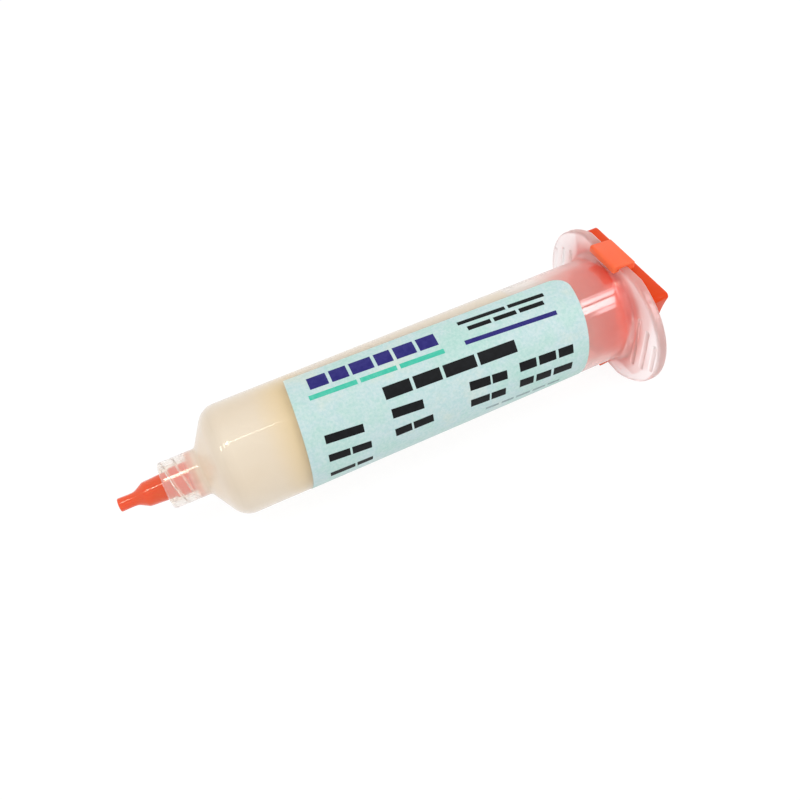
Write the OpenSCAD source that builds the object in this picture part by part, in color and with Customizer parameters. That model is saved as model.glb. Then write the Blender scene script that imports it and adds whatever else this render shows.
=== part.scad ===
// Flux syringe: a thirty millilitre paste barrel that lies on its side.
// X runs along the barrel, with the tip at its low end and the flange at its high end.
// X is zero near the flange, on the barrel's axis, where the straight wall ends. Z is up.

/* [Barrel] */
// Outside diameter of the barrel
barrel_d = 25.4; // [24.8:0.1:26]
// Thickness of the barrel's wall
wall = 1.45; // [1.25:0.05:1.6]
// Length of the straight wall, from the origin to the rounded shoulder
straight_l = 90.9; // [84:0.1:110]
// Angle between the shoulder's cone and the axis
shoulder_angle = 59; // [52:1:64]
// Radius of the rounding between the wall and the shoulder
shoulder_r = 5; // [4:0.25:6]

/* [Luer lock] */
// Outside diameter of the lock collar
collar_d = 10.5; // [10.2:0.1:11.4]
// Length of the lock collar in front of the shoulder
collar_l = 8.4; // [7.6:0.1:10]
// Diameter of the collar's cavity
cavity_d = 8; // [7.8:0.05:8.4]
// Depth of the collar's cavity
cavity_l = 6.5; // [5.8:0.1:7]
// Diameter of the tapered nozzle at its end
nozzle_d = 3.96; // [3.9:0.01:4.02]
// Length of the nozzle that stands out of the collar
nozzle_out = 2.1; // [1.8:0.1:2.4]
// Diameter of the passage through the nozzle
passage_d = 2.8; // [1.8:0.1:3]

/* [Flange] */
// Width of the flange from ear to ear
flange_w = 44.2; // [42:0.1:48]
// Height of the flange's oval before the two flats are cut
flange_h = 33; // [32:0.1:36]
// Distance between the two flats
flat_h = 30; // [30:0.1:31]
// Thickness of the flange
flange_t = 2.4; // [2:0.1:3]
// Distance from the origin to the flange's front face
flange_x = 2.5; // [2.4:0.1:3.5]
// Number of grip ribs on each ear
rib_count = 3; // [1:1:3]
// Height of a grip rib
rib_h = 0.45; // [0.3:0.05:0.5]

/* [End cap] */
// Length of the cap's body across the ears, at its corners
cap_w = 29.4; // [28.2:0.1:30]
// Height of the cap's body between the clips
cap_h = 24; // [23.6:0.1:25]
// Depth of the cap's body behind the flange
cap_t = 4.3; // [3.6:0.1:5]
// How far each short end of the body curves in
waist = 2.4; // [1:0.1:2.6]
// Width of a clip
clip_w = 9.3; // [8:0.1:11]
// Length of the plug in front of the cap's body
plug_l = 5.45; // [4.5:0.05:10.2]

/* [Piston] */
// Overall length of the piston
piston_l = 15; // [13:0.1:15.6]
// Distance from the origin to the piston's rear rim
piston_back = 10.2; // [5.5:0.1:30]
// Diameter of the flat on the piston's nose
nose_d = 8; // [6:0.5:10]

/* [Tip cap] */
// Length of the tip cap in front of the nozzle
stem_l = 8; // [7:0.1:12]
// Diameter of the tip cap's slim end
stem_d = 2.95; // [2.4:0.05:3.4]

/* [Label] */
// Length of the label along the barrel
label_l = 68; // [60:0.5:70]
// Width of the label around the barrel
label_w = 33; // [26:0.5:34]
// Radius of the label's corners at the flange end
label_corner = 4; // [2:0.5:6]
// Angle that the label was stuck out of line with the barrel
label_skew = 2.4; // [0:0.2:3]

/* [Hidden] */

// Degrees of a turn for each step of a rounded corner
arc_step = 10;
// Sides of a circle where one is drawn
round_fn = 128;

// Clearance between the moving fits, and between the paste and what holds it
slide_gap = 0.05;
// Clearance of the cap's body behind the flange
seat_gap = 0.05;

// Barrel
barrel_r = barrel_d / 2;
bore_r = barrel_r - wall;
slope = tan(shoulder_angle);
shoulder_x = -straight_l - shoulder_r * tan(shoulder_angle / 2);
collar_r = collar_d / 2;
collar_x = shoulder_x - (barrel_r - collar_r) / slope;
front_x = collar_x - collar_l;
cavity_r = cavity_d / 2;
rear_x = flange_x + flange_t;
fillet_r = 2.2;
hub_r = barrel_r + fillet_r + 0.05;

// Inside of the barrel: the inner cone lies a wall's thickness behind the outer one
inner_r = shoulder_r - wall;
inner_x = shoulder_x + wall * tan(shoulder_angle / 2);
passage_r = passage_d / 2;
throat_x = inner_x - (bore_r - passage_r) / slope;

// Nozzle: a male luer cone, which grows by six parts in a hundred of its length
luer_taper = 0.06;
floor_x = front_x + cavity_l;
nozzle_x = front_x - nozzle_out;
nozzle_r = nozzle_d / 2;
nozzle_base_r = nozzle_r + luer_taper / 2 * (floor_x - nozzle_x);

// Flange: the exponent makes the oval a little fuller than an ellipse
oval_exponent = 2.1;
oval_points = 120;
rib_r = 0.6;
rib_pitch = 3.1;
rib_first_y = barrel_r + 1.3;
rib_reach = 0.55;

// Piston: the front cone is parallel to the shoulder, and two lips wipe the bore
lip_r = bore_r - slide_gap;
lip_l = 1.5;
lip_lead = 0.5;
lip_slope_l = 0.8;
piston_waist_r = bore_r - 0.65;
piston_rear_x = -piston_back;
nose_x = piston_rear_x - piston_l;
nose_r = nose_d / 2;
cone_r = bore_r - 0.35;
cone_x = nose_x + (cone_r - nose_r) / slope;
cup_r = 8;
cup_flare = 0.6;
nose_wall = 1.5;
nose_floor = 3;

// Paste
paste_r = bore_r - slide_gap;
paste_rear_x = cone_x - (paste_r - cone_r) * 0.5 - slide_gap;

// Tip cap
cap_fit = 0.03;
cap_rear_x = floor_x - 0.4;
cap_body_r = 3.4;
cap_neck_r = 2.95;
cap_front_r = 2.72;
cap_shelf_x = front_x + 2;
cap_neck_x = front_x + 1.4;
cap_bend_x = front_x - 0.4;
cap_taper_x = nozzle_x - 2.2;
socket_x = nozzle_x - 0.4;
stem_r = stem_d / 2;
stem_root_x = nozzle_x - 4.3;
stem_slim_x = nozzle_x - 5.6;
stem_swell = 0.03;
stem_x = nozzle_x - stem_l;

// End cap
body_x = rear_x + seat_gap;
back_x = body_x + cap_t;
plug_r = bore_r - 0.25;
bead_r = bore_r - slide_gap;
plug_x = body_x - plug_l;
hollow_r = bore_r - 1.65;
plug_floor = 1.3;
plug_lead_r = 0.4;
plug_lead_l = 1;
bead_back = 2.2;
bead_half_l = 0.3;
bead_slope_l = 0.3;
tray_floor = 1.5;
tray_rim = 1.3;
corner_r = 1;
waist_r = (cap_h * cap_h / 4 + waist * waist) / (2 * waist);
clip_inner_z = flat_h / 2 + 0.1;
clip_top_z = clip_inner_z + 0.5;
clip_flare = 0.6;
clip_web = 1.65;
clip_root = 1;
lip_gap = 0.15;
clip_lip_l = 1.55;
lip_rear_x = flange_x - lip_gap;
lip_front_x = lip_rear_x - clip_lip_l;
lip_z = clip_inner_z - 0.75;

// Label
label_t = 0.1;
label_gap = 0.01;
label_x = -43;
label_turn = 60.5;
label_mid_r = barrel_r + label_gap + label_t / 2;

// A vector of length one
function unit(v) = v / norm(v);

// A vector in the plane, turned by an angle
function turned(v, a) = [v[0] * cos(a) - v[1] * sin(a), v[0] * sin(a) + v[1] * cos(a)];

// The arc of radius r that rounds the corner p between the points before and after it
function corner(before, p, after, r) =
    let (
        u = unit(before - p),
        v = unit(after - p),
        half = acos(u * v) / 2,
        centre = p + unit(u + v) * r / sin(half),
        first = p + u * r / tan(half) - centre,
        last = p + v * r / tan(half) - centre,
        way = sign(first[0] * last[1] - first[1] * last[0]),
        sweep = 180 - 2 * half,
        steps = max(2, ceil(sweep / arc_step))
    )
    [for (i = [0 : steps]) centre + turned(first, way * sweep * i / steps)];

// A closed outline, from corners that are each [x, y, radius of its rounding]
function rounded(corners) =
    let (n = len(corners), p = [for (c = corners) [c[0], c[1]]])
    [for (i = [0 : n - 1])
        each corners[i][2] == 0 ? [p[i]]
            : corner(p[(i + n - 1) % n], p[i], p[(i + 1) % n], corners[i][2])];

// Half height of the flange's oval at a distance y from the axis
function oval_z(y) =
    flange_h / 2 * pow(1 - pow(abs(y) / (flange_w / 2), oval_exponent), 1 / oval_exponent);

// One point of the flange's oval, at angle t
function oval_point(t) = [
    flange_w / 2 * sign(cos(t)) * pow(abs(cos(t)), 2 / oval_exponent),
    flange_h / 2 * sign(sin(t)) * pow(abs(sin(t)), 2 / oval_exponent)
];

// A solid of revolution about X, from corners that are each [radius, x, rounding]
module spin(corners) {
    rotate([0, 90, 0])
        rotate_extrude($fn = round_fn)
            polygon(rounded(corners));
}

// A flat shape drawn in Y and Z, made solid from x0 to x1
module along_x(x0, x1) {
    translate([x0, 0, 0])
        rotate([90, 0, 90])
            linear_extrude(height = x1 - x0)
                children();
}

// The barrel's wall, shoulder, lock collar and nozzle
module barrel_wall() {
    spin([
        [bore_r, rear_x, 0.4],
        [hub_r, rear_x, 0],
        [hub_r, flange_x, 0],
        [barrel_r, flange_x, fillet_r],
        [barrel_r, shoulder_x, shoulder_r],
        [collar_r, collar_x, 1],
        [collar_r, front_x, 0.7],
        [cavity_r, front_x, 0.3],
        [cavity_r, floor_x, 0.3],
        [nozzle_base_r, floor_x, 0.3],
        [nozzle_r, nozzle_x, 0.2],
        [passage_r, nozzle_x, 0.1],
        [passage_r, throat_x, 1],
        [bore_r, inner_x, inner_r]
    ]);
}

// The oval flange with its two flats, round the barrel's open end
module flange_plate() {
    along_x(flange_x, rear_x)
        difference() {
            intersection() {
                polygon([for (i = [0 : oval_points - 1]) oval_point(360 * i / oval_points)]);
                square([flange_w + 2, flat_h], center = true);
            }
            circle(r = barrel_r, $fn = round_fn);
        }
}

// One rounded grip rib on the flange's front face
module grip_rib(y) {
    reach = rib_reach * oval_z(y);
    translate([flange_x - rib_h + rib_r, y, -reach])
        cylinder(r = rib_r, h = 2 * reach, $fn = 32);
}

module barrel() {
    color([0.95, 0.93, 0.9, 0.5])
        union() {
            barrel_wall();
            flange_plate();
            for (ear = [-1, 1], i = [0 : rib_count - 1])
                grip_rib(ear * (rib_first_y + i * rib_pitch));
        }
}

// Soft cap that plugs the nozzle inside the lock collar
module tip_cap() {
    socket_rear_r = nozzle_r + luer_taper / 2 * (cap_rear_x - nozzle_x) + cap_fit;
    socket_end_r = nozzle_r + luer_taper / 2 * (socket_x - nozzle_x) + cap_fit;
    color("orangered")
        spin([
            [socket_rear_r, cap_rear_x, 0.15],
            [cap_body_r, cap_rear_x, 0.3],
            [cap_body_r, cap_shelf_x, 0.3],
            [cap_neck_r, cap_neck_x, 0.3],
            [cap_neck_r, cap_bend_x, 2],
            [cap_front_r, cap_taper_x, 1.2],
            [stem_r, stem_root_x, 2.5],
            [stem_r - stem_swell, stem_slim_x, 3],
            [stem_r + stem_swell, stem_x, 0.15],
            [0, stem_x, 0],
            [0, socket_x, 0],
            [socket_end_r, socket_x, 0.2]
        ]);
}

// Outline of the cap's body: a rounded rectangle whose short ends curve in
module cap_outline(inset) {
    half_w = cap_w / 2 - inset;
    half_h = cap_h / 2 - inset;
    difference() {
        polygon(rounded([
            [half_w, half_h, corner_r],
            [-half_w, half_h, corner_r],
            [-half_w, -half_h, corner_r],
            [half_w, -half_h, corner_r]
        ]));
        for (end = [-1, 1])
            translate([end * (cap_w / 2 - waist + waist_r), 0])
                circle(r = waist_r + inset, $fn = round_fn);
    }
}

// One clip, drawn in X and Z, that hooks over a flat of the flange
module clip() {
    translate([0, clip_w / 2, 0])
        rotate([90, 0, 0])
            linear_extrude(height = clip_w)
                polygon(rounded([
                    [body_x, cap_h / 2 - clip_root, 0],
                    [body_x + clip_web, cap_h / 2 - clip_root, 0],
                    [body_x + clip_web, clip_top_z, 0.4],
                    [lip_front_x, clip_top_z + clip_flare, 0.6],
                    [lip_front_x, lip_z, 0.3],
                    [lip_rear_x, lip_z, 0.1],
                    [lip_rear_x, clip_inner_z, 0.1],
                    [body_x, clip_inner_z, 0.1]
                ]));
}

// Hollow plug with its seal bead, which closes the barrel's open end
module plug() {
    bead_x = plug_x + bead_back;
    bead_foot = bead_half_l + bead_slope_l;
    mid_x = (body_x + back_x) / 2;
    spin([
        [0, plug_x, 0],
        [plug_r - plug_lead_r, plug_x, 0.5],
        [plug_r, plug_x + plug_lead_l, 0.5],
        [plug_r, bead_x - bead_foot, 0.2],
        [bead_r, bead_x - bead_half_l, 0.2],
        [bead_r, bead_x + bead_half_l, 0.2],
        [plug_r, bead_x + bead_foot, 0.2],
        [plug_r, mid_x, 0],
        [hollow_r, mid_x, 0],
        [hollow_r, plug_x + plug_floor, 0.6],
        [0, plug_x + plug_floor, 0]
    ]);
}

module end_cap() {
    color("orangered")
        union() {
            difference() {
                along_x(body_x, back_x)
                    cap_outline(0);
                along_x(body_x + tray_floor, back_x + 1)
                    cap_outline(tray_rim);
                along_x(body_x - 1, back_x + 1)
                    circle(r = hollow_r + 0.4, $fn = round_fn);
            }
            plug();
            for (turn = [0, 180])
                rotate([turn, 0, 0])
                    clip();
        }
}

// Wiper piston with a conical nose and an open cup behind
module piston() {
    inner_nose_r = nose_r - nose_wall;
    cup_floor_x = nose_x + nose_floor;
    cup_cone_x = cup_floor_x + (cup_r - inner_nose_r) / slope;
    color("white")
        spin([
            [0, nose_x, 0],
            [nose_r, nose_x, 0.6],
            [cone_r, cone_x, 0.3],
            [lip_r, cone_x + lip_lead, 0.1],
            [lip_r, cone_x + lip_l, 0.2],
            [piston_waist_r, cone_x + lip_l + lip_slope_l, 0.5],
            [piston_waist_r, piston_rear_x - lip_l - lip_slope_l, 0.5],
            [lip_r, piston_rear_x - lip_l, 0.2],
            [lip_r, piston_rear_x, 0.2],
            [cup_r + cup_flare, piston_rear_x, 0.3],
            [cup_r, cup_cone_x, 1.2],
            [inner_nose_r, cup_floor_x, 0.6],
            [0, cup_floor_x, 0]
        ]);
}

// The paste, which fills the barrel from the piston's nose to the end of the nozzle
module flux() {
    color("wheat")
        spin([
            [0, nose_x - slide_gap, 0],
            [nose_r, nose_x - slide_gap, 0],
            [paste_r, paste_rear_x, 0],
            [paste_r, inner_x + slide_gap, inner_r],
            [passage_r - slide_gap, throat_x + slide_gap, 0.8],
            [passage_r - slide_gap, nozzle_x + 0.3, 0],
            [0, nozzle_x + 0.3, 0]
        ]);
}

// Moves what is drawn to a place on the label, turned round the barrel and skewed
module on_label(angle) {
    rotate([angle, 0, 0])
        translate([label_x, 0, 0])
            rotate([0, 0, -label_skew])
                children();
}

// The label, a thin sheet round part of the barrel
module label() {
    half_angle = label_w / 2 / label_mid_r * 180 / PI;
    corner_angle = (label_w / 2 - label_corner) / label_mid_r * 180 / PI;
    reach = 2 * barrel_r;
    color("paleturquoise")
        difference() {
            spin([
                [barrel_r + label_gap, label_x - label_l, 0],
                [barrel_r + label_gap, label_x + label_l, 0],
                [barrel_r + label_gap + label_t, label_x + label_l, 0],
                [barrel_r + label_gap + label_t, label_x - label_l, 0]
            ]);
            // The two ends
            for (end = [-1, 1])
                on_label(label_turn)
                    translate([end * (label_l / 2 + reach * 2), 0, 0])
                        cube(reach * 4, center = true);
            // The two long edges
            for (side = [-1, 1])
                on_label(label_turn + side * half_angle)
                    translate([0, -side * reach * 2, 0])
                        cube([reach * 6, reach * 4, reach * 4], center = true);
            // The rounded corners at the flange end
            for (side = [-1, 1])
                on_label(label_turn + side * corner_angle)
                    translate([label_l / 2 - label_corner, 0, 0])
                        to_side(side)
                            corner_cut();
        }
}

// Draws its child as it is, or mirrored to the other side
module to_side(side) {
    mirror([0, side < 0 ? 0 : 1, 0])
        children();
}

// What a rounded corner leaves of its square
module corner_cut() {
    linear_extrude(height = barrel_d)
        difference() {
            square(label_corner * 2);
            circle(r = label_corner, $fn = round_fn);
        }
}

barrel();
tip_cap();
end_cap();
piston();
flux();
label();
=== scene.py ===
import bmesh
import bpy
import math
import random
from mathutils import Euler, Matrix, Vector


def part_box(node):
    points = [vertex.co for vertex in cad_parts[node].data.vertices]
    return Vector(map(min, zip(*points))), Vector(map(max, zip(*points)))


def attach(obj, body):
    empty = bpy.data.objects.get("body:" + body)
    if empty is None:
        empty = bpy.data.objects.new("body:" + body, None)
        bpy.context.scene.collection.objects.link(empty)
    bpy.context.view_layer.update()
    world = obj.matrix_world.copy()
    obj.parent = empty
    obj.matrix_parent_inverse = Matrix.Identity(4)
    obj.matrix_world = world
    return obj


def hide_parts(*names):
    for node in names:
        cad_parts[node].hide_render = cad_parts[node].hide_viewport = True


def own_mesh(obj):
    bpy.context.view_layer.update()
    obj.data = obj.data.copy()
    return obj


# the flux syringe: X runs along the barrel's axis from the tip to the flange, and Z is up through the clips
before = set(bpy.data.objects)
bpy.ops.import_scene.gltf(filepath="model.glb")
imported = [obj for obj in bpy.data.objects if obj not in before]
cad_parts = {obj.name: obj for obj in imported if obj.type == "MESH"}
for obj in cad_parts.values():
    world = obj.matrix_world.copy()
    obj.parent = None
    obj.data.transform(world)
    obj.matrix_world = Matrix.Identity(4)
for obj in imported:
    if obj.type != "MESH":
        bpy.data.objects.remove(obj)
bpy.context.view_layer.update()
mm = 0.001
roundBarrel = (math.pi / 2, 0, math.pi / 2)  # turns what was made round Z to lie round the barrel's axis


# a node's lowest and highest corners, in millimetres to a hundredth
def boxOf(node):
    return [[round(v / mm, 2) for v in corner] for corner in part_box(node)]


barrelLow, barrelHigh = boxOf("barrel")
pistonLow, pistonHigh = boxOf("piston")
capLow, capHigh = boxOf("end_cap")
print("frame loaded, barrel from", barrelLow, "to", barrelHigh, "mm")


# a new Geometry Nodes tree with an input for each (label, kind); gives the tree and its inputs
def newTree(name, inputs):
    tree = bpy.data.node_groups.new(name, "GeometryNodeTree")
    for label, kind in [("Geometry", "Geometry")] + inputs:
        tree.interface.new_socket(label, in_out="INPUT", socket_type="NodeSocket" + kind)
    tree.interface.new_socket("Geometry", in_out="OUTPUT", socket_type="NodeSocketGeometry")
    return tree, tree.nodes.new("NodeGroupInput").outputs


# inputs are linked where they are sockets, and set where they are values
def addNode(tree, kind, inputs=None, **settings):
    node = tree.nodes.new(kind)
    for key, value in settings.items():
        setattr(node, key, value)
    for key, value in (inputs or {}).items():
        if isinstance(value, bpy.types.NodeSocket):
            tree.links.new(value, node.inputs[key])
        else:
            node.inputs[key].default_value = value
    return node


def fromNode(tree, kind, inputs=None, **settings):
    return addNode(tree, kind, inputs, **settings).outputs[0]


# a calculation with one value or two, repeated where there are more
def sums(tree, operation, first, *others):
    for other in others or (None,):
        values = {i: value for i, value in enumerate((first, other)) if value is not None}
        first = fromNode(tree, "ShaderNodeMath", values, operation=operation)
    return first


def times(tree, *values):
    return sums(tree, "MULTIPLY", *values)


def parted(tree, vector):
    return addNode(tree, "ShaderNodeSeparateXYZ", {"Vector": vector}).outputs


def joined(tree, x=0, y=0, z=0):
    return fromNode(tree, "ShaderNodeCombineXYZ", {"X": x, "Y": y, "Z": z})


def axisDistance(tree, y, z):
    return sums(tree, "SQRT", sums(tree, "ADD", times(tree, y, y), times(tree, z, z)))


def marked(tree, name):
    return fromNode(tree, "GeometryNodeInputNamedAttribute", {"Name": name}, data_type="FLOAT")


def finishTree(tree, geometry, material):
    plain = fromNode(tree, "GeometryNodeRealizeInstances", {"Geometry": geometry})
    painted = fromNode(tree, "GeometryNodeSetMaterial", {"Geometry": plain, "Material": material})
    addNode(tree, "NodeGroupOutput", {0: painted})
    return tree


def bakedMesh(obj):
    graph = bpy.context.evaluated_depsgraph_get()
    return bpy.data.meshes.new_from_object(obj.evaluated_get(graph))


def bakeTree(obj, tree, values):
    modifier = obj.modifiers.new(tree.name, "NODES")
    modifier.node_group = tree
    for item in tree.interface.items_tree:
        if item.in_out == "INPUT" and item.name in values:
            modifier[item.identifier] = values[item.name]
    made = bakedMesh(obj)
    obj.modifiers.remove(modifier)
    obj.data = made
    made.name = obj.name


def newObject(name, points, edges=(), faces=(), material=None):
    mesh = bpy.data.meshes.new(name)
    mesh.from_pydata(points, list(edges), list(faces))
    if material:
        mesh.materials.append(material)
    obj = bpy.data.objects.new(name, mesh)
    bpy.context.scene.collection.objects.link(obj)
    return obj


def markPoints(obj, name, values):
    mark = obj.data.attributes.new(name, "FLOAT", "POINT")
    for item, value in zip(mark.data, values):
        item.value = value


# smooth shading, with the edges sharper than an angle left crisp
def smoothUnder(obj, degrees):
    mesh = obj.data
    mesh.shade_smooth()
    work = bmesh.new()
    work.from_mesh(mesh)
    bmesh.ops.recalc_face_normals(work, faces=work.faces)
    for edge in work.edges:
        edge.smooth = not (edge.is_manifold and edge.calc_face_angle(0) > math.radians(degrees))
    work.to_mesh(mesh)
    work.free()
    return obj


# corners are (radius, place along the barrel, rounding) in millimetres, round the closed outline
def roundedOutline(corners, step=9):
    points = []
    count = len(corners)
    for i, (x, y, rounding) in enumerate(corners):
        here = Vector((x, y))
        if rounding == 0:
            points.append(here)
            continue
        before = (Vector(corners[i - 1][:2]) - here).normalized()
        after = (Vector(corners[(i + 1) % count][:2]) - here).normalized()
        half = before.angle(after) / 2
        centre = here + (before + after).normalized() * rounding / math.sin(half)
        first = here + before * rounding / math.tan(half) - centre
        last = here + after * rounding / math.tan(half) - centre
        sweep = first.angle(last)
        way = 1 if first.x * last.y - first.y * last.x > 0 else -1
        steps = max(2, math.ceil(math.degrees(sweep) / step))
        for k in range(steps + 1):
            t = way * sweep * k / steps
            points.append(centre + Vector((first.x * math.cos(t) - first.y * math.sin(t),
                                           first.x * math.sin(t) + first.y * math.cos(t))))
    return keptStraight(points)


# two more points near the ends of each long stretch off the axis keep its shading straight
def keptStraight(points, longest=1.5, near=0.15):
    full = []
    for i, here in enumerate(points):
        after = points[(i + 1) % len(points)]
        along = after - here
        full.append(here)
        if along.length > longest and here.x > 0 and after.x > 0:
            full += [here + along.normalized() * near, after - along.normalized() * near]
    return full


# turns an outline round the barrel's axis, as on a lathe
def turningTree():
    tree, source = newTree("turned round the axis", [
        ("Sides", "Int"), ("Path Radius", "Float"), ("Material", "Material")])
    inwards = joined(tree, x=times(tree, source["Path Radius"], -1))
    moved = fromNode(tree, "GeometryNodeTransform", {"Geometry": source["Geometry"], "Translation": inwards})
    profile = fromNode(tree, "GeometryNodeMeshToCurve", {"Mesh": moved})
    circle = fromNode(tree, "GeometryNodeCurvePrimitiveCircle", {
        "Resolution": source["Sides"], "Radius": source["Path Radius"]})
    swept = fromNode(tree, "GeometryNodeCurveToMesh", {"Curve": circle, "Profile Curve": profile})
    laid = fromNode(tree, "GeometryNodeTransform", {"Geometry": swept, "Rotation": roundBarrel})
    merged = fromNode(tree, "GeometryNodeMergeByDistance", {"Geometry": laid, "Distance": 1e-6})
    smooth = fromNode(tree, "GeometryNodeSetShadeSmooth", {"Geometry": merged})
    return finishTree(tree, smooth, source["Material"])


turned = turningTree()
pathRadius = 10  # of the circle that an outline is swept along; the outline is moved in by as much
rimBand = 1.5  # how near to the rim a point is still part of it


# one piece, turned from an outline of (radius, place along the barrel, rounding) corners
def turnedPiece(name, corners, material, sides, rim=None):
    outline = roundedOutline(corners)
    points = [(p.x * mm, -p.y * mm, 0) for p in outline]
    edges = [(i, (i + 1) % len(points)) for i in range(len(points))]
    if corners[0][0] == 0 and corners[-1][0] == 0:
        edges.pop()  # both ends lie on the axis, so the outline stays open there
    obj = newObject(name, points, edges)
    if rim:
        # the points of the rim carry their distance from it, all others -1
        markPoints(obj, "rimInset", [(rim - p.x) * mm if p.x > rim - rimBand else -1 for p in outline])
    bakeTree(obj, turned, {"Sides": sides, "Path Radius": pathRadius * mm, "Material": material})
    return obj


# a colour as seen, from 0 to 255, made linear
def linear(*rgb):
    return tuple((v / 255 / 12.92 if v <= 10 else ((v / 255 + 0.055) / 1.055) ** 2.4) for v in rgb) + (1,)


def newMaterial(name, sockets):
    material = bpy.data.materials.new(name)
    material.use_nodes = True
    tree = material.node_tree
    shader = tree.nodes["Principled BSDF"]
    for key, value in sockets.items():
        shader.inputs[key].default_value = value
    place = tree.nodes.new("ShaderNodeTexCoord").outputs["Object"]
    return material, tree, shader, place


def noiseAt(tree, place, scale, detail, roughness=0.55, stretch=None):
    if stretch:
        place = fromNode(tree, "ShaderNodeMapping", {"Vector": place, "Scale": stretch})
    return addNode(tree, "ShaderNodeTexNoise", {
        "Vector": place, "Scale": scale, "Detail": detail, "Roughness": roughness}).outputs["Fac"]


def ramp(tree, value, stops):
    node = addNode(tree, "ShaderNodeValToRGB", {0: value})
    elements = node.color_ramp.elements
    while len(elements) < len(stops):
        elements.new(0.5)
    for element, (position, colour) in zip(elements, stops):
        element.position = position
        element.color = colour
    return node.outputs[0]


def spread(tree, value, ends, toLow=0, toHigh=1):
    return fromNode(tree, "ShaderNodeMapRange", {
        "Value": value, "From Min": ends[0], "From Max": ends[1], "To Min": toLow, "To Max": toHigh})


# the same over a length, whose two ends are in millimetres
def zone(tree, value, ends, toLow=0, toHigh=1):
    return spread(tree, value, (ends[0] * mm, ends[1] * mm), toLow, toHigh)


# noise with its middle range spread out between two values
def patchy(tree, place, scale, detail, toLow=0, toHigh=1, ends=(0.3, 0.7), stretch=None):
    return spread(tree, noiseAt(tree, place, scale, detail, stretch=stretch), ends, toLow, toHigh)


def mixed(tree, share, a, b, blend="MIX"):
    mix = addNode(tree, "ShaderNodeMix", {0: share, 6: a, 7: b}, data_type="RGBA", blend_type=blend)
    return mix.outputs[2]


# lays one colour after the other over a base, each with its share
def layered(tree, base, layers):
    for share, colour in layers:
        base = mixed(tree, share, base, colour)
    return base


def bumped(tree, shader, height, strength, distance):
    bump = fromNode(tree, "ShaderNodeBump", {"Height": height, "Strength": strength, "Distance": distance})
    tree.links.new(bump, shader.inputs["Normal"])


# milky, see-through plastic: clearest at the tip, milkier towards the end cap, and painted pinker there for
# the orange cap's light glowing through the wall
barrelLook = {
    "clear": linear(252, 248, 240), "paintedCapLight": linear(255, 164, 156), "ear": linear(255, 252, 255),
    "root": linear(244, 226, 200), "ring": linear(240, 128, 92), "paintedRingShare": 0.5,
    "cloud": linear(252, 247, 247), "cloudShare": 0.35, "inside": linear(252, 249, 246),
    "glow": linear(255, 250, 252), "paintedCapLightGlow": linear(255, 211, 205),
    "glowShare": 0.33, "earGlow": 0.34, "tipGlow": 0.06,
    "clarity": 0.9, "earClarity": 0.94, "rootMilk": 0.45, "tipClear": 0.06,
    "gloss": (0.04, 0.11), "capBlur": 0.02, "earBlur": 0.06, "deepest": 4.5,
    # where each change begins and ends along the barrel, and for the ears out from the axis too
    "paintedCapLightZone": (-15, -4), "blurZone": (-14, -4), "earZone": (1, 2), "earRadius": (13.8, 16.6),
    "rootFront": (-100.9, -99.7), "rootBack": (-93, -97), "tipZone": (-100.5, -102),
    "paintedRingFront": (-100.7, -100.2), "paintedRingBack": (-99.1, -99.7)}


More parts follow.
